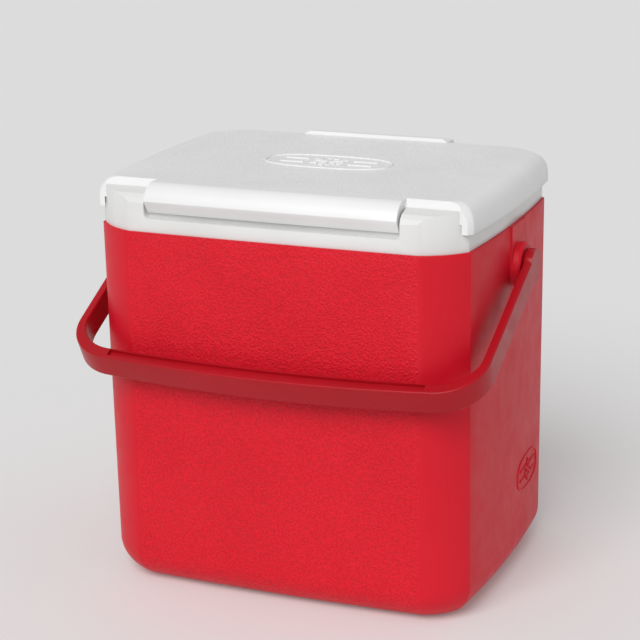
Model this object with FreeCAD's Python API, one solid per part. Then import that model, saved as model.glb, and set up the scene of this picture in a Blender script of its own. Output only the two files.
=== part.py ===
import FreeCAD, Part
import math
import os
from FreeCAD import Vector

# Personal hard cooler with a hinged lid and a carry handle that swings over it.
# Frame: +Z up, the feet stand on z = 0, and the lid's lift lip and the hanging
# handle face -Y. The sizes below count Y from the middle of the body, and every
# finished part then moves back by FRAME_Y, which puts the origin below the
# middle of the whole object, handle and hinge included.
FRAME_Y = 10.06

# Body plan at the rim and at the base (half sizes)
RIM_Z = 334.0
FLAT_X_RIM = 134.4
FLAT_X_BASE = 138.4
FRONT_Y_RIM = 132.0
FRONT_Y_BASE = 130.5
FRONT_BOW_RIM = 1.5
FRONT_BOW_BASE = 3.5
CREASE_X_RIM = 172.7
CREASE_X_BASE = 171.7
CREASE_Y_RIM = 105.9
CREASE_Y_BASE = 102.9
CORNER_BULGE = 3.9
CORNER_RUN = 46.4
SIDE_BOW = 4.5
EDGE_ROUND = 31.0
ROUND_SECTIONS = 7
FLOOR_SECTIONS = 4

# Shell, feet and base
SHELL_WALL = 2.6
FOOT_RISE = 3.5
SHELL_FLOOR_Z = 6.6
FOOT_INNER_X = 87.0
FOOT_INNER_Y = 62.0
FOOT_SLOPE = 10.0
FILL_HOLE_R = 14.0
PLUG_FLANGE_R = 18.0
PLUG_FLANGE = 1.4
PLUG_SLACK = 0.3
BASE_PLUG_REACH = 2.0

# Collar and cavity
COLLAR_INSET = 2.0
COLLAR_WALL = 2.8
SPIGOT_INSET = 2.8
SPIGOT_WALL = 2.2
SPIGOT_Z = 322.0
DECK_Z = 358.0
DECK = 2.5
CAVITY_X = 143.0
CAVITY_Y = 100.0
CAVITY_DRAFT = 6.0
CAVITY_R = 25.0
CAVITY_FLOOR_Z = 34.0
FLOOR_ROUND = 10.0
TUB_WALL = 2.5
POCKET_X = 118.6
POCKET_R = 4.0
POCKET_Y = 123.0
POCKET_Z = 346.2
POST_X = 118.6
POST_BACK_Y = 112.4
POST_TOP_Z = 370.0
POST_WALL = 2.8
POST_FRONT_WALL = 1.5
POST_ROOT_Z = 342.0
POST_FOOT_Z = 340.0
POST_ROLL = ((-124.5, 367.0), (-128.3, 364.0), (-130.2, 359.5), (-131.0, 358.0))
POST_FRONT_Y = -136.0
POST_FRONT_Z = 357.0

# Lid
LID_OVERHANG = 2.7
LID_WALL = 2.6
SKIRT_Z = 350.0
SHOULDER_Z = 358.0
LID_TOP_Z = 376.4
SHOULDER_IN = 16.0
NOTCH_Y = 112.0
NOTCH_BEVEL = 5.0
NOTCH_BEVEL_DROP = 6.4
LIP_X = 117.0
LIP_BOTTOM_Z = 351.0
LIP_WALL = 3.0
LIP_BACK_Y = -100.0
LIP_START_Y = -118.5
LIP_SHOULDER_Y = -129.8
LIP_SHOULDER_Z = 370.6
LIP_NOSE_Y = -134.2
LIP_NOSE_Z = 362.0
LIP_FOOT_Y = -127.5
LIP_TOE_Y = -124.2
LIP_SHOULDER_PULL = 0.8
LIP_TOE_PULL = 0.4
SKIRT_CLEARANCE = 1.2
PAN_Z = 358.3
PAN_PLATE = 2.5
PAN_INSET = 0.5
PLUG_DROP = 8.0
PLUG_GAP = 1.8
PLUG_TAPER = 1.5
PAN_FRONT = 4.0
VENT_R = 10.0
VENT_FLANGE_R = 13.0
VENT_FLANGE = 1.2

# Hinge
HINGE_Y = 137.5
WEB_ROOT_Y = 128.5
RELIEF_Y = 126.0
RELIEF_GAP = 1.0
RELIEF_SIDE = 0.5
HINGE_Z = 352.0
KNUCKLE_R = 6.0
PIN_R = 2.0
PIN_CLEARANCE = 0.05
HOOD_X = 73.0
HOOD_RISE = 2.6
HOOD_FRONT_Y = 119.7
HOOD_ROOT = 6.0
HOOD_FLOOR_Z = 359.5
HOOD_ROLL = ((14.0, 0.0), (6.0, 3.0), (1.5, 8.5), (0.0, 15.0))
HOOD_END_SLOPE = 5.0
KNUCKLE_GAP = 0.4
COLLAR_KNUCKLES = ((-73.0, -50.0), (-12.0, 12.0), (50.0, 73.0))
LID_KNUCKLES = ((-50.0, -12.0), (12.0, 50.0))
PIN_END = 72.0
PIN_INNER = 2.0

# Handle
PIVOT_Y = 9.3
PIVOT_Z = 295.4
REST_DROP = 26.6
STRAP_W = 24.0
ARM_OUT_X = 194.5
ARM_IN_X = 187.0
EYE_R = 15.3
GRIP_REACH = 175.8
GRIP_OUT_MID = 12.3
GRIP_OUT_END = 5.0
GRIP_IN_MID = 3.0
GRIP_IN_END = 6.5
GRIP_END_X = 150.5
CORNER_OUT_R = 44.0
CORNER_IN_R = 38.0
GROOVE_X = 148.0
GROOVE_W = 7.0
GROOVE_DEPTH = 3.0
GROOVE_OUT = 4.0
GROOVE_BOW = 5.0
STRAP_ROUND = 1.6
PEG_R = 9.0
PEG_CLEARANCE = 0.06
PEG_IN_X = 163.0
HUB_R = 20.5
HUB_X = 185.5
HUB_ROOT_X = 170.0
HUB_BACKING_X = 168.0
HUB_CHAMFER = 2.0
SOCKET_R = 13.0
SOCKET_BOTTOM_X = 158.0
SOCKET_FLOOR = 2.5
PAD_HALF = 20.3
PAD_PROUD = 1.6

FOAM_GAP = 0.1
FAR = 400.0
TOUCH = 0.01


def box(x0, x1, y0, y1, z0, z1):
    return Part.makeBox(x1 - x0, y1 - y0, z1 - z0, Vector(x0, y0, z0))


def blend(rim, base, z):
    return base + (rim - base) * z / RIM_Z


def arc(a, b, c):
    return Part.Arc(Vector(*a), Vector(*b), Vector(*c)).toShape()


def corner_points(z, inset):
    """The front right corner: where the flat front ends and where the side begins."""
    flat = (blend(FLAT_X_RIM, FLAT_X_BASE, z), -blend(FRONT_Y_RIM, FRONT_Y_BASE, z) + inset)
    crease = (blend(CREASE_X_RIM, CREASE_X_BASE, z) - inset, -blend(CREASE_Y_RIM, CREASE_Y_BASE, z))
    shrink = inset * math.tan(math.radians(22.5))
    flat = (flat[0] - shrink, flat[1])
    crease = (crease[0], crease[1] + shrink)
    return flat, crease


def corner_middle(flat, crease):
    run = math.hypot(crease[0] - flat[0], crease[1] - flat[1])
    bulge = CORNER_BULGE * run / CORNER_RUN
    out = ((crease[1] - flat[1]) / run * bulge, -(crease[0] - flat[0]) / run * bulge)
    return (flat[0] + crease[0]) / 2 + out[0], (flat[1] + crease[1]) / 2 + out[1]


def outline(z, inset=0.0, at=None):
    """Closed plan outline of the body at height z, moved in by inset and drawn at height at."""
    h = z if at is None else at
    flat, crease = corner_points(z, inset)
    middle = corner_middle(flat, crease)
    front = flat[1] - blend(FRONT_BOW_RIM, FRONT_BOW_BASE, z)
    side = crease[0] + SIDE_BOW

    def p(q, sx, sy):
        return (sx * q[0], sy * q[1], h)

    edges = [
        arc(p(flat, -1, 1), (0, front, h), p(flat, 1, 1)),
        arc(p(flat, 1, 1), p(middle, 1, 1), p(crease, 1, 1)),
        arc(p(crease, 1, 1), (side, 0, h), p(crease, 1, -1)),
        arc(p(crease, 1, -1), p(middle, 1, -1), p(flat, 1, -1)),
        arc(p(flat, 1, -1), (0, -front, h), p(flat, -1, -1)),
        arc(p(flat, -1, -1), p(middle, -1, -1), p(crease, -1, -1)),
        arc(p(crease, -1, -1), (-side, 0, h), p(crease, -1, 1)),
        arc(p(crease, -1, 1), p(middle, -1, 1), p(flat, -1, 1)),
    ]
    return Part.Wire(edges)


def loft(wires, ruled=False):
    return Part.makeLoft(wires, True, ruled)


def rounded_section(radius, step, count):
    """Height above and inset at one step of a quarter-round edge."""
    turn = math.pi / 2 * step / count
    return radius * (1 - math.cos(turn)), radius * (1 - math.sin(turn))


def body_block(inset, bottom_z, top_z):
    """Solid body shape with its rounded bottom edge, moved in by inset."""
    radius = EDGE_ROUND - inset
    low = []
    for step in range(ROUND_SECTIONS + 1):
        rise, pull = rounded_section(radius, step, ROUND_SECTIONS)
        z = bottom_z + rise
        low.append(outline(z, inset + pull))
    wall = loft([outline(bottom_z + radius, inset), outline(top_z, inset)], True)
    return loft(low).fuse(wall)


def prism(inset, z0, z1):
    """Upright block with the rim's outline, moved in by inset."""
    return loft([outline(RIM_Z, inset, z0), outline(RIM_Z, inset, z1)], True)


def rounded_rectangle(hx, hy, r, z):
    s = r * math.sqrt(0.5)
    edges = []
    for sx, sy in ((1, -1), (1, 1), (-1, 1), (-1, -1)):
        cx = sx * (hx - r)
        cy = sy * (hy - r)
        along_x = (cx, sy * hy, z)
        along_y = (sx * hx, cy, z)
        middle = (cx + sx * s, cy + sy * s, z)
        ends = (along_x, along_y) if sx * sy < 0 else (along_y, along_x)
        edges.append(arc(ends[0], middle, ends[1]))
    joined = []
    for i in range(4):
        joined.append(edges[i])
        a = edges[i].Vertexes[-1].Point
        b = edges[(i + 1) % 4].Vertexes[0].Point
        joined.append(Part.LineSegment(a, b).toShape())
    return Part.Wire(joined)


def tub_block(grow, bottom_z, top_z):
    """Drafted cavity shape with a rounded floor edge, moved out by grow."""
    span = DECK_Z - CAVITY_FLOOR_Z

    def section(z, pull):
        draft = CAVITY_DRAFT * (DECK_Z - z) / span
        hx = CAVITY_X + grow - draft - pull
        hy = CAVITY_Y + grow - draft - pull
        return rounded_rectangle(hx, hy, CAVITY_R + grow - pull, z)

    radius = FLOOR_ROUND + grow
    low = []
    for step in range(FLOOR_SECTIONS + 1):
        rise, pull = rounded_section(radius, step, FLOOR_SECTIONS)
        low.append(section(bottom_z + rise, pull))
    wall = loft([section(bottom_z + radius, 0), section(top_z, 0)], True)
    return loft(low).fuse(wall)


def cylinder_x(r, x0, x1, y, z):
    return Part.makeCylinder(r, x1 - x0, Vector(x0, y, z), Vector(1, 0, 0))


def plate_x(points, x0, x1):
    """Block with a profile in Y and Z, from x0 to x1."""
    corners = [Vector(x0, y, z) for y, z in points]
    wire = Part.makePolygon(corners + corners[:1])
    return Part.Face(wire).extrude(Vector(x1 - x0, 0, 0))


def mirrored(shape):
    return shape.mirror(Vector(0, 0, 0), Vector(1, 0, 0))


def hub_parts():
    """The round hubs and the upright pads on both sides, as solids that reach into the wall."""
    hub = cylinder_x(HUB_R, HUB_ROOT_X, HUB_X, PIVOT_Y, PIVOT_Z)
    rim = [e for e in hub.Edges if abs(e.CenterOfMass.x - HUB_X) < TOUCH]
    hub = hub.makeChamfer(HUB_CHAMFER, rim)
    pad_x = CREASE_X_RIM + SIDE_BOW + PAD_PROUD
    pad = box(HUB_ROOT_X, pad_x, PIVOT_Y - PAD_HALF, PIVOT_Y + PAD_HALF, PIVOT_Z, RIM_Z)
    block = hub.fuse(pad)
    return block.fuse(mirrored(block))


def socket_holes(r, x0):
    hole = cylinder_x(r, x0, FAR, PIVOT_Y, PIVOT_Z)
    return hole.fuse(mirrored(hole))


def foot_channels():
    """Shallow channels across the base that leave a foot at each corner."""
    x = FOOT_INNER_X
    y = FOOT_INNER_Y
    top = FOOT_RISE
    along_y = [Vector(-x, -FAR, -1), Vector(-x, -FAR, 0), Vector(-x + FOOT_SLOPE, -FAR, top),
               Vector(x - FOOT_SLOPE, -FAR, top), Vector(x, -FAR, 0), Vector(x, -FAR, -1)]
    first = Part.Face(Part.makePolygon(along_y + along_y[:1])).extrude(Vector(0, 2 * FAR, 0))
    along_x = [Vector(-FAR, -y, -1), Vector(-FAR, -y, 0), Vector(-FAR, -y + FOOT_SLOPE, top),
               Vector(-FAR, y - FOOT_SLOPE, top), Vector(-FAR, y, 0), Vector(-FAR, y, -1)]
    second = Part.Face(Part.makePolygon(along_x + along_x[:1])).extrude(Vector(2 * FAR, 0, 0))
    return first.fuse(second)


def outer_shell():
    shape = body_block(0, 0, RIM_Z).cut(foot_channels())
    shape = shape.fuse(hub_parts())
    inside = body_block(SHELL_WALL, SHELL_FLOOR_Z, RIM_Z + 1)
    shape = shape.cut(inside.cut(hub_backing()))
    shape = shape.cut(socket_holes(SOCKET_R, SOCKET_BOTTOM_X - SOCKET_FLOOR))
    fill_hole = Part.makeCylinder(FILL_HOLE_R, 20, Vector(0, 0, -1))
    seat = Part.makeCylinder(PLUG_FLANGE_R, FOOT_RISE + PLUG_FLANGE, Vector(0, 0, 0))
    return shape.cut(fill_hole).cut(seat)


def hub_backing():
    """Thicker wall behind each hub, around its socket."""
    backing = cylinder_x(HUB_R, HUB_BACKING_X, FAR, PIVOT_Y, PIVOT_Z)
    return backing.fuse(mirrored(backing))


def base_plug():
    z = FOOT_RISE
    flange = Part.makeCylinder(PLUG_FLANGE_R - PLUG_SLACK, PLUG_FLANGE, Vector(0, 0, z))
    stem = Part.makeCylinder(FILL_HOLE_R - PLUG_SLACK, SHELL_FLOOR_Z - z + BASE_PLUG_REACH, Vector(0, 0, z))
    return flange.fuse(stem)


def handle_socket(side):
    """Closed cup in the hub that the handle's peg turns in."""
    cup = cylinder_x(SOCKET_R, SOCKET_BOTTOM_X, HUB_X, PIVOT_Y, PIVOT_Z)
    bottom = SOCKET_BOTTOM_X + SOCKET_FLOOR
    bore = cylinder_x(PEG_R + PEG_CLEARANCE, bottom, FAR, PIVOT_Y, PIVOT_Z)
    shape = cup.cut(bore)
    return shape if side > 0 else mirrored(shape)


def post_profile():
    """Front post outline in Y and Z, with its rolled upper front edge."""
    points = [(-POST_BACK_Y, POST_FOOT_Z), (-POST_BACK_Y, POST_TOP_Z)]
    points += POST_ROLL
    points += [(POST_FRONT_Y, POST_FRONT_Z), (POST_FRONT_Y, POST_FOOT_Z)]
    return points


def front_posts():
    block = prism(COLLAR_INSET, POST_ROOT_Z, POST_TOP_Z + 1)
    right = block.common(plate_x(post_profile(), POST_X, FAR))
    return right.fuse(mirrored(right))


def front_posts_hollow():
    """Space inside the two posts, so their walls stay thin."""
    inset = COLLAR_INSET + COLLAR_WALL
    block = prism(inset, POST_ROOT_Z, POST_TOP_Z + 1)
    front = -POST_BACK_Y - POST_WALL
    lowered = []
    for y, z in post_profile():
        moved = y + POST_FRONT_WALL if y < front else y - POST_WALL
        lowered.append((moved, z - POST_WALL))
    right = block.common(plate_x(lowered, POST_X + POST_WALL, FAR))
    return right.fuse(mirrored(right))


def collar_knuckles():
    parts = []
    for x0, x1 in COLLAR_KNUCKLES:
        barrel = cylinder_x(KNUCKLE_R, x0, x1, HINGE_Y, HINGE_Z)
        web = box(x0, x1, WEB_ROOT_Y, HINGE_Y, HINGE_Z - KNUCKLE_R, HINGE_Z + 2.0)
        parts.append(barrel.fuse(web))
    return parts


def pin_hole():
    return cylinder_x(PIN_R + PIN_CLEARANCE, -FAR, FAR, HINGE_Y, HINGE_Z)


def inner_liner():
    """Food liner: a drafted tub whose top edge meets the underside of the collar's deck."""
    tub = tub_block(TUB_WALL, CAVITY_FLOOR_Z - TUB_WALL, DECK_Z - DECK)
    return tub.cut(tub_block(0, CAVITY_FLOOR_Z, DECK_Z + 1))


def collar():
    """Band and deck around the mouth, with its front posts, lip pocket and hinge knuckles."""
    band = prism(COLLAR_INSET, RIM_Z, DECK_Z).fuse(prism(SPIGOT_INSET, SPIGOT_Z, RIM_Z))
    band = band.fuse(front_posts())
    hollow = prism(SPIGOT_INSET + SPIGOT_WALL, SPIGOT_Z - 1, DECK_Z - DECK)
    pocket_wall = COLLAR_WALL + POCKET_X
    keep = box(-pocket_wall, pocket_wall, -FAR, -POCKET_Y + COLLAR_WALL, POCKET_Z - COLLAR_WALL, FAR)
    hollow = hollow.cut(keep)
    hollow = hollow.fuse(front_posts_hollow().cut(box(-FAR, FAR, -FAR, FAR, 0, DECK_Z - DECK - 1)))
    shape = band.cut(hollow)
    shape = shape.cut(tub_block(0, CAVITY_FLOOR_Z, DECK_Z + 1))
    shape = shape.cut(lip_pocket())
    for knuckle in collar_knuckles():
        shape = shape.fuse(knuckle)
    return shape.cut(pin_hole())


def lip_pocket():
    """Recess for the lid's lip, with its two lower corners rounded."""
    pocket = box(-POCKET_X, POCKET_X, -FAR, -POCKET_Y, POCKET_Z, DECK_Z + 1)
    low = [e for e in pocket.Edges if abs(e.CenterOfMass.z - POCKET_Z) < TOUCH]
    ends = [e for e in low if abs(abs(e.CenterOfMass.x) - POCKET_X) < TOUCH]
    return pocket.makeFillet(POCKET_R, ends)


def body_foam():
    low = body_block(SHELL_WALL + FOAM_GAP, SHELL_FLOOR_Z + FOAM_GAP, SPIGOT_Z - FOAM_GAP)
    inset = SPIGOT_INSET + SPIGOT_WALL + FOAM_GAP
    high = prism(inset, SPIGOT_Z - 2, DECK_Z - DECK - FOAM_GAP)
    shape = low.fuse(high)
    shape = shape.cut(tub_block(TUB_WALL + FOAM_GAP, CAVITY_FLOOR_Z - TUB_WALL - FOAM_GAP, DECK_Z))
    wall = POCKET_X + COLLAR_WALL + FOAM_GAP
    back = -POCKET_Y + COLLAR_WALL + FOAM_GAP
    shape = shape.cut(box(-wall, wall, -FAR, back, POCKET_Z - COLLAR_WALL - FOAM_GAP, FAR))
    root = HUB_BACKING_X - FOAM_GAP
    backing = cylinder_x(HUB_R + FOAM_GAP, root, FAR, PIVOT_Y, PIVOT_Z)
    shape = shape.cut(backing).cut(mirrored(backing))
    shape = shape.cut(socket_holes(SOCKET_R + FOAM_GAP, SOCKET_BOTTOM_X - FOAM_GAP))
    plug = Part.makeCylinder(FILL_HOLE_R, 4.0, Vector(0, 0, SHELL_FLOOR_Z - 1))
    return shape.cut(plug)


def lid_block(inset):
    """Lid shape with its rounded shoulder, moved in by inset on every side."""
    rise = LID_TOP_Z - SHOULDER_Z - inset
    pull = SHOULDER_IN - inset
    edge = inset - LID_OVERHANG
    skirt = prism(edge, SKIRT_Z, SHOULDER_Z)
    sections = []
    for step in range(ROUND_SECTIONS + 1):
        turn = math.pi / 2 * step / ROUND_SECTIONS
        z = SHOULDER_Z + rise * math.sin(turn)
        sections.append(outline(RIM_Z, edge + pull * (1 - math.cos(turn)), z))
    return skirt.fuse(loft(sections))


def notch_cut(clear=0.0):
    """Everything in front of the lid's panel, with a bevel at its top edge."""
    y = -NOTCH_Y + clear
    z = LID_TOP_Z - NOTCH_BEVEL_DROP
    top = LID_TOP_Z + 10.0
    slope = NOTCH_BEVEL / NOTCH_BEVEL_DROP
    points = [(y, 0), (y, z), (y + slope * (top - z), top), (-FAR, top), (-FAR, 0)]
    return plate_x(points, -FAR, FAR)


def front_centre_y():
    """Centre of the long arc that the front of the body follows."""
    radius = (FLAT_X_RIM ** 2 + FRONT_BOW_RIM ** 2) / (2 * FRONT_BOW_RIM)
    return radius - FRONT_Y_RIM - FRONT_BOW_RIM, radius


def bowed(edges, half_x):
    """Turns a closed YZ profile about the front arc's centre, to half_x each side."""
    centre, radius = front_centre_y()
    turn = math.degrees(math.asin(half_x / radius))
    face = Part.Face(Part.Wire(edges))
    face = face.rotate(Vector(0, centre, 0), Vector(0, 0, 1), -turn)
    return face.revolve(Vector(0, centre, 0), Vector(0, 0, 1), 2 * turn)


def lip_edges(back, inset):
    """The rolled lip's profile in Y and Z, moved in by inset."""
    top = LID_TOP_Z - inset
    pull = inset * LIP_SHOULDER_PULL
    start = (0, LIP_START_Y, top)
    shoulder = (0, LIP_SHOULDER_Y + pull, LIP_SHOULDER_Z - pull)
    nose = (0, LIP_NOSE_Y + inset, LIP_NOSE_Z)
    foot = (0, LIP_FOOT_Y + inset, LIP_BOTTOM_Z)
    toe = (0, LIP_TOE_Y + inset * LIP_TOE_PULL, LIP_BOTTOM_Z)
    points = [foot, toe, (0, back, toe[2]), (0, back, top), start]
    edges = [Part.LineSegment(Vector(*points[i]), Vector(*points[i + 1])).toShape() for i in range(4)]
    edges.append(arc(start, shoulder, nose))
    edges.append(Part.LineSegment(Vector(*nose), Vector(*foot)).toShape())
    return edges


def lip_solid():
    return bowed(lip_edges(LIP_BACK_Y, 0), LIP_X)


def lip_space():
    return bowed(lip_edges(LIP_BACK_Y, LIP_WALL), LIP_X - LIP_WALL)


def hood():
    """Raised cover over the hinge, at the back edge of the lid."""
    top = LID_TOP_Z + HOOD_RISE
    back = HINGE_Y + KNUCKLE_R
    front = HOOD_FRONT_Y
    points = [(front, LID_TOP_Z - HOOD_RISE), (front, LID_TOP_Z), (front + HOOD_RISE, top)]
    points += [(back - run, top - fall) for run, fall in HOOD_ROLL]
    points += [(back, HOOD_FLOOR_Z), (front + HOOD_ROOT, HOOD_FLOOR_Z)]
    cover = plate_x(points, -HOOD_X, HOOD_X)
    return cover.cut(hood_end()).cut(mirrored(hood_end()))


def hood_end():
    """Wedge that slopes one end of the hinge cover down to the lid's top."""
    top = LID_TOP_Z + HOOD_RISE
    points = [(HOOD_X, LID_TOP_Z), (HOOD_X - HOOD_END_SLOPE, top), (HOOD_X, top + 1), (HOOD_X + 1, top)]
    corners = [Vector(x, HOOD_FRONT_Y - 1, z) for x, z in points]
    wedge = Part.Face(Part.makePolygon(corners + corners[:1]))
    return wedge.extrude(Vector(0, HINGE_Y + KNUCKLE_R - HOOD_FRONT_Y, 0))


def lid_knuckles():
    parts = []
    for x0, x1 in LID_KNUCKLES:
        a = x0 + KNUCKLE_GAP
        b = x1 - KNUCKLE_GAP
        barrel = cylinder_x(KNUCKLE_R, a, b, HINGE_Y, HINGE_Z)
        web = box(a, b, HINGE_Y - 3.5, HINGE_Y + KNUCKLE_R, HINGE_Z, HINGE_Z + KNUCKLE_R + 3)
        parts.append(barrel.fuse(web))
    return parts


def lid_solid():
    """Filled outer form of the lid."""
    panel = lid_block(0).cut(notch_cut())
    return panel.fuse(lip_solid())


def lid_space():
    """Space under the lid's cover."""
    panel = lid_block(LID_WALL).cut(notch_cut(LID_WALL))
    return panel.fuse(lip_space())


def hinge_relief():
    """Room in the lid for the collar's knuckles."""
    reach = KNUCKLE_R + RELIEF_GAP
    half = HOOD_X + RELIEF_SIDE
    relief = cylinder_x(reach, -half, half, HINGE_Y, HINGE_Z)
    return relief.fuse(box(-half, half, RELIEF_Y, HINGE_Y, POST_ROOT_Z, HINGE_Z + reach))


def deck_relief():
    """Room under the lid for the collar's deck; only the skirt hangs outside it."""
    relief = prism(COLLAR_INSET - SKIRT_CLEARANCE, SKIRT_Z - 9, PAN_Z)
    return relief.common(box(-FAR, FAR, -POCKET_Y - 0.6, FAR, 0, FAR))


def lid_cover():
    shape = lid_solid().fuse(hood())
    shape = shape.cut(lid_space()).cut(hinge_relief()).cut(deck_relief())
    for knuckle in lid_knuckles():
        shape = shape.fuse(knuckle)
    return shape.cut(pin_hole())


def pan_plug(grow, z0, z1):
    r = CAVITY_R - PLUG_GAP + grow
    hx = CAVITY_X - PLUG_GAP + grow
    hy = CAVITY_Y - PLUG_GAP + grow
    top = rounded_rectangle(hx, hy, r, z1)
    low = rounded_rectangle(hx - PLUG_TAPER, hy - PLUG_TAPER, r, z0)
    return loft([low, top], True)


def pan_plate():
    plate = prism(PAN_INSET, PAN_Z, PAN_Z + PAN_PLATE)
    return plate.cut(box(-FAR, FAR, -FAR, -NOTCH_Y + PAN_FRONT, 0, FAR))


def lid_liner():
    """White pan that closes the lid from below and plugs the cavity."""
    plate = pan_plate()
    plug = pan_plug(0, PAN_Z - PLUG_DROP, PAN_Z + PAN_PLATE)
    space = pan_plug(-PAN_PLATE, PAN_Z - PLUG_DROP + PAN_PLATE, PAN_Z + PAN_PLATE + 1)
    return plate.fuse(plug).cut(space).cut(hinge_relief()).cut(lid_vent())


def lid_vent():
    """Hole the lid's foam is filled through."""
    return Part.makeCylinder(VENT_R, 2 * PLUG_DROP, Vector(0, 0, PAN_Z - 2 * PLUG_DROP))


def lid_plug():
    z = PAN_Z - PLUG_DROP
    low = Vector(0, 0, z - VENT_FLANGE)
    flange = Part.makeCylinder(VENT_FLANGE_R, VENT_FLANGE, low)
    return flange.fuse(Part.makeCylinder(VENT_R - PLUG_SLACK, PAN_PLATE + VENT_FLANGE, low))


def lid_foam():
    space = lid_block(LID_WALL + FOAM_GAP).cut(notch_cut(LID_WALL + FOAM_GAP))
    space = space.common(box(-FAR, FAR, -NOTCH_Y + PAN_FRONT, FAR, PAN_Z + PAN_PLATE + FOAM_GAP, FAR))
    plug = pan_plug(-PAN_PLATE - FOAM_GAP, PAN_Z - PLUG_DROP + PAN_PLATE + FOAM_GAP, PAN_Z + PAN_PLATE + 2)
    return space.fuse(plug).cut(hinge_relief())


def hinge_pin(side):
    pin = cylinder_x(PIN_R, PIN_INNER, PIN_END, HINGE_Y, HINGE_Z)
    return pin if side > 0 else mirrored(pin)


def bow_arc(mid, end):
    """Radius and centre of the grip's gentle bow, from its reach at the middle and the ends."""
    rise = mid - end
    radius = (GRIP_END_X ** 2 + rise ** 2) / (2 * rise)
    return radius, mid - radius


def strap_edge(arm_x, corner_r, mid, end):
    """One open edge of the U: arm, corner, bowed grip, corner and arm, each tangent to the next."""
    radius, bow_centre = bow_arc(mid, end)
    cx = arm_x - corner_r
    cy = bow_centre + math.sqrt((radius - corner_r) ** 2 - cx ** 2)
    lean = math.atan2(cx, cy - bow_centre)
    touch = (radius * math.sin(lean), bow_centre + radius * math.cos(lean), 0)
    turn = math.radians(45) - lean / 2
    middle = (cx + corner_r * math.cos(turn), cy + corner_r * math.sin(turn), 0)

    def flip(p):
        return (-p[0], p[1], p[2])

    top = (arm_x, 0, 0)
    start = (arm_x, cy, 0)
    edges = [Part.LineSegment(Vector(*top), Vector(*start)).toShape(), arc(start, middle, touch)]
    edges.append(arc(touch, (0, mid, 0), flip(touch)))
    edges.append(arc(flip(touch), flip(middle), flip(start)))
    edges.append(Part.LineSegment(Vector(*flip(start)), Vector(*flip(top))).toShape())
    return edges


def strap_outline():
    """U outline of the handle in its own plane: X across, Y from the pivot to the grip."""
    reach = GRIP_REACH
    edges = strap_edge(ARM_OUT_X, CORNER_OUT_R, reach + GRIP_OUT_MID, reach + GRIP_OUT_END)
    edges += strap_edge(ARM_IN_X, CORNER_IN_R, reach - GRIP_IN_MID, reach - GRIP_IN_END)
    for side in (-1, 1):
        a = Vector(side * ARM_OUT_X, 0, 0)
        b = Vector(side * ARM_IN_X, 0, 0)
        edges.append(Part.LineSegment(a, b).toShape())
    return Part.Wire(Part.__sortEdges__(edges))


def groove(face_z):
    """Groove along the grip in one narrow face."""
    y0 = GRIP_REACH + GROOVE_OUT - GROOVE_W / 2
    sign = 1 if face_z > 0 else -1
    z0 = face_z - GROOVE_DEPTH if sign > 0 else face_z
    mid = Vector(0, y0, z0)
    near = [Vector(-GROOVE_X, y0 - GROOVE_BOW, z0), mid, Vector(GROOVE_X, y0 - GROOVE_BOW, z0)]
    far = [v + Vector(0, GROOVE_W, 0) for v in near]
    edges = [Part.Arc(*near).toShape(), Part.LineSegment(near[2], far[2]).toShape()]
    edges += [Part.Arc(far[2], far[1], far[0]).toShape(), Part.LineSegment(far[0], near[0]).toShape()]
    return Part.Face(Part.Wire(edges)).extrude(Vector(0, 0, GROOVE_DEPTH))


def carry_handle():
    """Strap handle in one piece with its two pivot pegs."""
    half = STRAP_W / 2
    strap = Part.Face(strap_outline()).extrude(Vector(0, 0, STRAP_W))
    strap.translate(Vector(0, 0, -half))
    strap = soften(strap)
    strap = strap.cut(groove(half)).cut(groove(-half))
    for side in (-1, 1):
        eye = cylinder_x(EYE_R, ARM_IN_X, ARM_OUT_X, 0, 0)
        peg = cylinder_x(PEG_R, PEG_IN_X, ARM_IN_X + 1, 0, 0)
        end = eye.fuse(peg)
        strap = strap.fuse(end if side > 0 else mirrored(end))
    strap.rotate(Vector(0, 0, 0), Vector(1, 0, 0), 180 + REST_DROP)
    strap.translate(Vector(0, PIVOT_Y, PIVOT_Z))
    return strap


def soften(strap):
    """Rounds the strap's long edges."""
    half = STRAP_W / 2
    edges = [e for e in strap.Edges if abs(abs(e.CenterOfMass.z) - half) < TOUCH and e.CenterOfMass.y > 1]
    return strap.makeFillet(STRAP_ROUND, edges)


def write(name, shape):
    shape = shape.removeSplitter()
    solids = shape.Solids
    shape = solids[0] if len(solids) == 1 else Part.makeCompound(solids)
    shape.translate(Vector(0, FRAME_Y, 0))
    shape.exportStep("parts/" + name + ".step")
    print(name, "solids", len(solids), "valid", shape.isValid(), "cm3", round(shape.Volume / 1000, 1))


def main():
    os.makedirs("parts", exist_ok=True)
    write("outer_shell", outer_shell())
    write("base_plug", base_plug())
    write("inner_liner", inner_liner())
    write("collar", collar())
    write("body_foam", body_foam())
    write("lid_cover", lid_cover())
    write("lid_liner", lid_liner())
    write("lid_foam", lid_foam())
    write("lid_plug", lid_plug())
    write("carry_handle", carry_handle())
    for side, word in ((-1, "left"), (1, "right")):
        write("handle_socket_" + word, handle_socket(side))
        write("hinge_pin_" + word, hinge_pin(side))


main()
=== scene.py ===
import math

import bmesh
import bpy
from mathutils import Matrix, Vector
from mathutils.bvhtree import BVHTree


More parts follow.
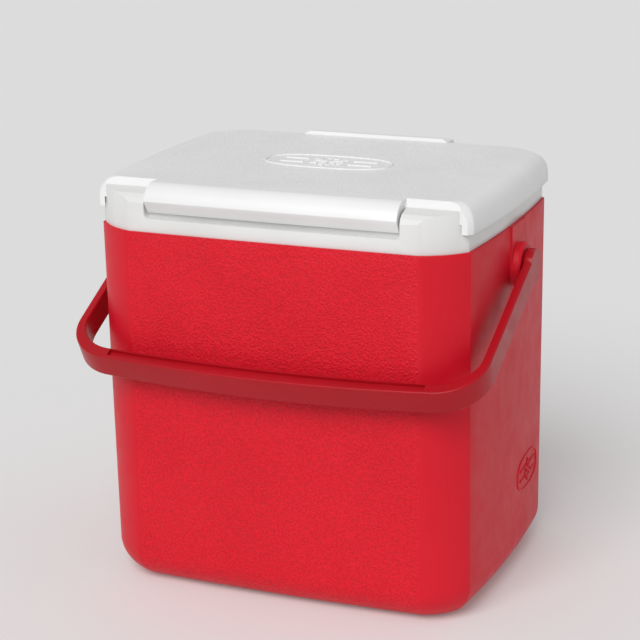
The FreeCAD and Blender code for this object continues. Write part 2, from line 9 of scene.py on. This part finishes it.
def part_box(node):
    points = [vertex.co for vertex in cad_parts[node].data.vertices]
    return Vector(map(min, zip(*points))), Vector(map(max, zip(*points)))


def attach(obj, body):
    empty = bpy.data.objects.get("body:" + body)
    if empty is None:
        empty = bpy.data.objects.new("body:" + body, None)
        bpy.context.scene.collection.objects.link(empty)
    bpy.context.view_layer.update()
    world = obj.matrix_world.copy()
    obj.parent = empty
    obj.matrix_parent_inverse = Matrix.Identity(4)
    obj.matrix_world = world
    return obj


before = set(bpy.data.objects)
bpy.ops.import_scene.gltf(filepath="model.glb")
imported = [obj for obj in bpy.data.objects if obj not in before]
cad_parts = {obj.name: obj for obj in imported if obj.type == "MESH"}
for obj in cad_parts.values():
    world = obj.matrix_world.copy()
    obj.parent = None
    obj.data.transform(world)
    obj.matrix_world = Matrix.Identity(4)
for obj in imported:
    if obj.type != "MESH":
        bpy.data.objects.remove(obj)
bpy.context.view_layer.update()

# All lengths are in metres and all angles in degrees. Y counts from the middle of
# the body's shell, and heights count from the floor.
SHELL_LOW, SHELL_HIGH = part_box("outer_shell")
MIDDLE_Y = (SHELL_LOW[1] + SHELL_HIGH[1]) / 2

# Camera: a long lens, seen from the front right and a little above
CAMERA_OFFSET = Vector((0.67881, -1.62101, 0.75305))
CAMERA_AZIMUTH = 23.0
CAMERA_ELEVATION = 16.6
CAMERA_ROLL = -1.05
CAMERA_LENS = 111.84

FLOOR_GLOW = 0.10
FLOOR_HALF = 30.0

# Light, with a sun that shines down from the front
SUN_TOWARDS = (0.00, -0.66, 0.62)
SUN_STRENGTH = 2.0
SUN_SOFTNESS = 40.0
SKY_STRENGTH = 0.44

# Gloss, grain and stipple
RED_SPECULAR = 0.24
CELL_SMOOTHNESS = 0.6
GRAIN_LOW = 0.55
GRAIN_HIGH = 1.15
SHELL_FLECK = 0.16
LID_FLECK = 0.05

# Sizes that the materials follow
FRONT_FLAT_X = 0.1350
FRONT_FLAT_EDGE = 0.0008
FRONT_FACE_EDGE = 0.001
FRONT_FACE = 0.1255
LID_TOP_Z = 0.3764
LID_PANEL_X = 0.150
LID_PANEL_BACK = 0.112
NOTCH_Y = 0.107

# Emblems: a ring around a snowflake with two plain bars on each side of it. Each
# emblem's place is the middle and half size of its ring on the surface.
BEAD = 0.0011
EMBLEM_RING = 2.6
EMBLEM_STEPS = 96
FLAKE_SIZE = 0.70
BAR_NEAR = 0.36
BAR_FAR = 0.74
BAR_HEIGHT = 0.30
FLAKE_ARMS = 6
FLAKE_TURN = 30
TWIG_LEAN = 55
TWIG_ROOT = 0.55
TWIG_LENGTH = 0.34
RAY_START = 1.0
LID_EMBLEM = (0.0, 0.005, 0.060, 0.025)
SIDE_EMBLEM = (0.053, 0.087, 0.033, 0.016)


def new_material(name):
    """A material with its Principled shader and its object coordinates."""
    material = bpy.data.materials.new(name)
    material.use_nodes = True
    tree = material.node_tree
    shader = tree.nodes["Principled BSDF"]
    place = tree.nodes.new("ShaderNodeTexCoord").outputs["Object"]
    return material, tree, shader, place


def maths(tree, operation, a, b=None):
    node = tree.nodes.new("ShaderNodeMath")
    node.operation = operation
    for index, value in enumerate((a, b)):
        if value is None:
            continue
        if isinstance(value, (int, float)):
            node.inputs[index].default_value = value
        else:
            tree.links.new(value, node.inputs[index])
    return node.outputs[0]


def noise(tree, place, scale, detail=2.0, rough=0.5):
    node = tree.nodes.new("ShaderNodeTexNoise")
    node.inputs["Scale"].default_value = scale
    node.inputs["Detail"].default_value = detail
    node.inputs["Roughness"].default_value = rough
    tree.links.new(place, node.inputs["Vector"])
    return node.outputs["Fac"]


def cells(tree, place, scale):
    node = tree.nodes.new("ShaderNodeTexVoronoi")
    node.feature = "SMOOTH_F1"
    node.inputs["Scale"].default_value = scale
    node.inputs["Smoothness"].default_value = CELL_SMOOTHNESS
    tree.links.new(place, node.inputs["Vector"])
    return node.outputs["Distance"]


def spread(tree, value, low, high, out_low, out_high, smooth=False):
    node = tree.nodes.new("ShaderNodeMapRange")
    node.clamp = True
    if smooth:
        node.interpolation_type = "SMOOTHSTEP"
    for index, number in enumerate((low, high, out_low, out_high)):
        node.inputs[index + 1].default_value = number
    tree.links.new(value, node.inputs[0])
    return node.outputs[0]


def two_colours(tree, factor, a, b):
    node = tree.nodes.new("ShaderNodeMix")
    node.data_type = "RGBA"
    node.inputs["A"].default_value = (*a, 1.0)
    node.inputs["B"].default_value = (*b, 1.0)
    tree.links.new(factor, node.inputs["Factor"])
    return node.outputs["Result"]


def bump(tree, height, strength, distance, under=None):
    node = tree.nodes.new("ShaderNodeBump")
    node.inputs["Distance"].default_value = distance
    if isinstance(strength, (int, float)):
        node.inputs["Strength"].default_value = strength
    else:
        tree.links.new(strength, node.inputs["Strength"])
    tree.links.new(height, node.inputs["Height"])
    if under is not None:
        tree.links.new(under, node.inputs["Normal"])
    return node.outputs["Normal"]


def axes(tree, place):
    node = tree.nodes.new("ShaderNodeSeparateXYZ")
    tree.links.new(place, node.inputs[0])
    return node.outputs


def moulded(name, dark, light, rough, fine_scale, fine_depth, specular=0.35):
    """Moulded plastic: faint colour drift, uneven gloss and a fine surface texture."""
    material, tree, shader, place = new_material(name)
    drift = noise(tree, place, 9.0, 3.0)
    colour = two_colours(tree, spread(tree, drift, 0.3, 0.7, 0.0, 1.0), dark, light)
    tree.links.new(colour, shader.inputs["Base Color"])
    shader.inputs["Specular IOR Level"].default_value = specular
    gloss = spread(tree, noise(tree, place, 60.0, 3.0), 0.3, 0.7, rough - 0.05, rough + 0.05)
    tree.links.new(gloss, shader.inputs["Roughness"])
    fine = bump(tree, noise(tree, place, fine_scale, 3.0), 0.35, fine_depth)
    tree.links.new(fine, shader.inputs["Normal"])
    return material, tree, shader, place, fine


def front_mask(tree, place):
    """1 on the flat front and back faces, 0 on the corners and sides."""
    x, y, _ = axes(tree, place)
    wide = maths(tree, "ABSOLUTE", x)
    across = spread(tree, wide, FRONT_FLAT_X - FRONT_FLAT_EDGE, FRONT_FLAT_X + FRONT_FLAT_EDGE, 1, 0)
    deep = maths(tree, "ABSOLUTE", maths(tree, "SUBTRACT", y, MIDDLE_Y))
    facing = spread(tree, deep, FRONT_FACE - FRONT_FACE_EDGE, FRONT_FACE + FRONT_FACE_EDGE, 0, 1)
    return maths(tree, "MULTIPLY", across, facing)


def fleck(tree, shader, grain, mask, depth):
    """Lightens and darkens the base colour a little with the grain, where the mask is 1."""
    old = shader.inputs["Base Color"].links[0].from_socket
    value = spread(tree, grain, GRAIN_LOW, GRAIN_HIGH, 1.0 - depth, 1.0 + depth)
    keep = maths(tree, "SUBTRACT", 1.0, mask)
    factor = maths(tree, "ADD", maths(tree, "MULTIPLY", value, mask), keep)
    node = tree.nodes.new("ShaderNodeVectorMath")
    node.operation = "SCALE"
    tree.links.new(old, node.inputs[0])
    tree.links.new(factor, node.inputs["Scale"])
    tree.links.new(node.outputs["Vector"], shader.inputs["Base Color"])


def shell_red():
    """Red shell plastic, pebble-grained on the front and back and satin elsewhere."""
    dark = (0.61, 0.005, 0.018)
    light = (0.66, 0.007, 0.022)
    parts = moulded("shell_red", dark, light, 0.45, 700.0, 0.00005, RED_SPECULAR)
    material, tree, shader, place, fine = parts
    mask = front_mask(tree, place)
    pebble = maths(tree, "ADD", cells(tree, place, 520.0), noise(tree, place, 700.0, 4.0, 0.6))
    fleck(tree, shader, pebble, mask, SHELL_FLECK)
    grain = bump(tree, pebble, maths(tree, "MULTIPLY", mask, 0.6), 0.0012, fine)
    tree.links.new(grain, shader.inputs["Normal"])
    return material


def handle_red_painted_shade():
    # The shell's red plastic, made darker as painted shade for the handle's faces that turn away
    # from the light
    dark = (0.38, 0.004, 0.010)
    light = (0.43, 0.005, 0.013)
    return moulded("handle_red_painted_shade", dark, light, 0.32, 500.0, 0.00004, RED_SPECULAR)[0]


def collar_white():
    return moulded("collar_white", (0.71, 0.71, 0.70), (0.77, 0.77, 0.76), 0.33, 420.0, 0.00003)[0]


def lid_mask(tree, place):
    """1 on the lid's flat top panel, 0 on its lip, hood, notches and rounded edge."""
    x, y, z = axes(tree, place)
    across = spread(tree, maths(tree, "ABSOLUTE", x), LID_PANEL_X, LID_PANEL_X + 0.010, 1, 0, True)
    front = spread(tree, y, MIDDLE_Y - NOTCH_Y, MIDDLE_Y - NOTCH_Y + 0.002, 0, 1)
    back = spread(tree, y, MIDDLE_Y + LID_PANEL_BACK, MIDDLE_Y + LID_PANEL_BACK + 0.008, 1, 0, True)
    top = spread(tree, z, LID_TOP_Z - 0.0006, LID_TOP_Z - 0.0001, 0, 1)
    both = maths(tree, "MULTIPLY", across, front)
    return maths(tree, "MULTIPLY", maths(tree, "MULTIPLY", both, back), top)


def lid_plastic():
    """Pale lid plastic, stippled on the top panel and smooth on the lip and edges."""
    dark = (0.80, 0.80, 0.80)
    light = (0.85, 0.85, 0.85)
    material, tree, shader, place, fine = moulded("lid_plastic", dark, light, 0.36, 420.0, 0.00003)
    mask = lid_mask(tree, place)
    stipple = maths(tree, "ADD", cells(tree, place, 620.0), noise(tree, place, 1300.0, 3.0, 0.6))
    fleck(tree, shader, stipple, mask, LID_FLECK)
    grain = bump(tree, stipple, maths(tree, "MULTIPLY", mask, 0.5), 0.0008, fine)
    tree.links.new(grain, shader.inputs["Normal"])
    return material


def foam():
    return moulded("foam", (0.72, 0.64, 0.42), (0.80, 0.72, 0.50), 0.85, 260.0, 0.0004)[0]


def pin_steel():
    material = moulded("pin_steel", (0.50, 0.50, 0.51), (0.60, 0.60, 0.61), 0.30, 900.0, 0.00002)[0]
    material.node_tree.nodes["Principled BSDF"].inputs["Metallic"].default_value = 1.0
    return material


def wear(node, material):
    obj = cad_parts[node]
    obj.data.materials.clear()
    obj.data.materials.append(material)
    return obj


def soften(node, width, angle):
    """Rounds a CAD part's hard edges a little, as moulding does."""
    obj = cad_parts[node]
    weld = obj.modifiers.new("join", "WELD")
    weld.merge_threshold = 0.00001
    bevel = obj.modifiers.new("soft_edges", "BEVEL")
    bevel.width = width
    bevel.segments = 3
    bevel.limit_method = "ANGLE"
    bevel.angle_limit = math.radians(angle)
    bevel.harden_normals = True


def emblem_lines():
    """The emblem's lines on a plate from -1 to 1 each way, each with its own closed flag."""
    ring = []
    for step in range(EMBLEM_STEPS):
        turn = 2 * math.pi * step / EMBLEM_STEPS
        c = math.cos(turn)
        s = math.sin(turn)
        power = 2 / EMBLEM_RING
        ring.append((math.copysign(abs(c) ** power, c), math.copysign(abs(s) ** power, s)))
    lines = [(ring, True)]
    for side in (-1, 1):
        for height in (-BAR_HEIGHT, BAR_HEIGHT):
            lines.append(([(side * BAR_NEAR, height), (side * BAR_FAR, height)], False))
    return lines


def flake_lines():
    """A six-armed snowflake of radius 1, with one pair of twigs on each arm."""
    lines = []
    for arm in range(FLAKE_ARMS):
        turn = math.radians(360 / FLAKE_ARMS * arm + FLAKE_TURN)
        out = Vector((math.cos(turn), math.sin(turn)))
        lines.append([(0, 0), tuple(out)])
        for twig in (-1, 1):
            lean = turn + twig * math.radians(TWIG_LEAN)
            root = out * TWIG_ROOT
            tip = root + Vector((math.cos(lean), math.sin(lean))) * TWIG_LENGTH
            lines.append([tuple(root), tuple(tip)])
    return lines


def lid_emblem_point(tree, u, v):
    """A point on the lid's top at u and v of the emblem's half sizes."""
    x, y, half_x, half_y = LID_EMBLEM
    start = Vector((x + u * half_x, MIDDLE_Y + y + v * half_y, RAY_START))
    return tree.ray_cast(start, Vector((0, 0, -1)))[0]


def side_emblem_point(side):
    """A finder of points on one side wall, low down towards the back."""
    def find(tree, u, v):
        y, z, half_y, half_z = SIDE_EMBLEM
        start = Vector((side * RAY_START, MIDDLE_Y + y + side * u * half_y, z + v * half_z))
        return tree.ray_cast(start, Vector((-side, 0, 0)))[0]
    return find


def place_emblem(name, node, body, find):
    """Raised lines laid on a CAD node's surface."""
    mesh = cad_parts[node].data
    tree = BVHTree.FromPolygons([v.co for v in mesh.vertices], [p.vertices for p in mesh.polygons])
    half = LID_EMBLEM if body == "lid" else SIDE_EMBLEM
    squeeze = half[3] / half[2]
    curve = bpy.data.curves.new(name, "CURVE")
    curve.dimensions = "3D"
    curve.bevel_depth = BEAD
    curve.bevel_resolution = 3
    curve.use_fill_caps = True
    lines = emblem_lines()
    for line in flake_lines():
        lines.append(([(x * squeeze * FLAKE_SIZE, y * FLAKE_SIZE) for x, y in line], False))
    for line, closed in lines:
        spline = curve.splines.new("POLY")
        spline.points.add(len(line) - 1)
        for point, (u, v) in zip(spline.points, line):
            point.co = (*find(tree, u, v), 1.0)
        spline.use_cyclic_u = closed
    obj = bpy.data.objects.new(name, curve)
    bpy.context.scene.collection.objects.link(obj)
    curve.materials.append(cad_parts[node].data.materials[0])
    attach(obj, body)


def add_camera():
    azimuth = math.radians(CAMERA_AZIMUTH)
    elevation = math.radians(CAMERA_ELEVATION)
    forward = Vector((-math.sin(azimuth) * math.cos(elevation),
                      math.cos(azimuth) * math.cos(elevation),
                      -math.sin(elevation)))
    camera = bpy.data.objects.new("camera", bpy.data.cameras.new("camera"))
    camera.data.lens = CAMERA_LENS
    camera.data.clip_end = 50.0
    camera.location = CAMERA_OFFSET + Vector((0, MIDDLE_Y, 0))
    turn = forward.to_track_quat("-Z", "Y").to_matrix()
    roll = Matrix.Rotation(math.radians(CAMERA_ROLL), 3, "Z")
    camera.rotation_euler = (turn @ roll).to_euler()
    bpy.context.scene.collection.objects.link(camera)
    bpy.context.scene.camera = camera


def sun(name, towards_light, strength, softness):
    light = bpy.data.lights.new(name, "SUN")
    light.energy = strength
    light.angle = math.radians(softness)
    obj = bpy.data.objects.new(name, light)
    obj.rotation_euler = Vector(towards_light).to_track_quat("Z", "Y").to_euler()
    bpy.context.scene.collection.objects.link(obj)


def add_light():
    sun("key", SUN_TOWARDS, SUN_STRENGTH, SUN_SOFTNESS)
    world = bpy.data.worlds.new("studio")
    world.use_nodes = True
    world.node_tree.nodes["Background"].inputs["Color"].default_value = (1, 1, 1, 1)
    world.node_tree.nodes["Background"].inputs["Strength"].default_value = SKY_STRENGTH
    bpy.context.scene.world = world
    bpy.context.scene.view_settings.view_transform = "Standard"


def add_floor():
    mesh = bpy.data.meshes.new("floor")
    shape = bmesh.new()
    bmesh.ops.create_grid(shape, x_segments=1, y_segments=1, size=FLOOR_HALF)
    shape.to_mesh(mesh)
    shape.free()
    floor = bpy.data.objects.new("floor", mesh)
    bpy.context.scene.collection.objects.link(floor)
    material, tree, shader, place = new_material("floor")
    tone = two_colours(tree, noise(tree, place, 3.0), (0.70, 0.70, 0.70), (0.72, 0.72, 0.72))
    tree.links.new(tone, shader.inputs["Base Color"])
    shader.inputs["Roughness"].default_value = 0.8
    shader.inputs["Emission Color"].default_value = (1, 1, 1, 1)
    shader.inputs["Emission Strength"].default_value = FLOOR_GLOW
    mesh.materials.append(material)


add_camera()
add_light()
add_floor()
red = shell_red()
white = collar_white()
wear("outer_shell", red)
wear("base_plug", red)
wear("handle_socket_left", red)
wear("handle_socket_right", red)
wear("carry_handle", handle_red_painted_shade())
wear("inner_liner", white)
wear("collar", white)
wear("lid_liner", white)
wear("lid_plug", white)
wear("lid_cover", lid_plastic())
core = foam()
wear("body_foam", core)
wear("lid_foam", core)
steel = pin_steel()
wear("hinge_pin_left", steel)
wear("hinge_pin_right", steel)

soften("outer_shell", 0.0008, 22)
soften("collar", 0.0006, 30)
soften("lid_cover", 0.0006, 30)
soften("carry_handle", 0.0004, 40)

place_emblem("lid_emblem", "lid_cover", "lid", lid_emblem_point)
place_emblem("side_emblem_right", "outer_shell", "body", side_emblem_point(1))
place_emblem("side_emblem_left", "outer_shell", "body", side_emblem_point(-1))
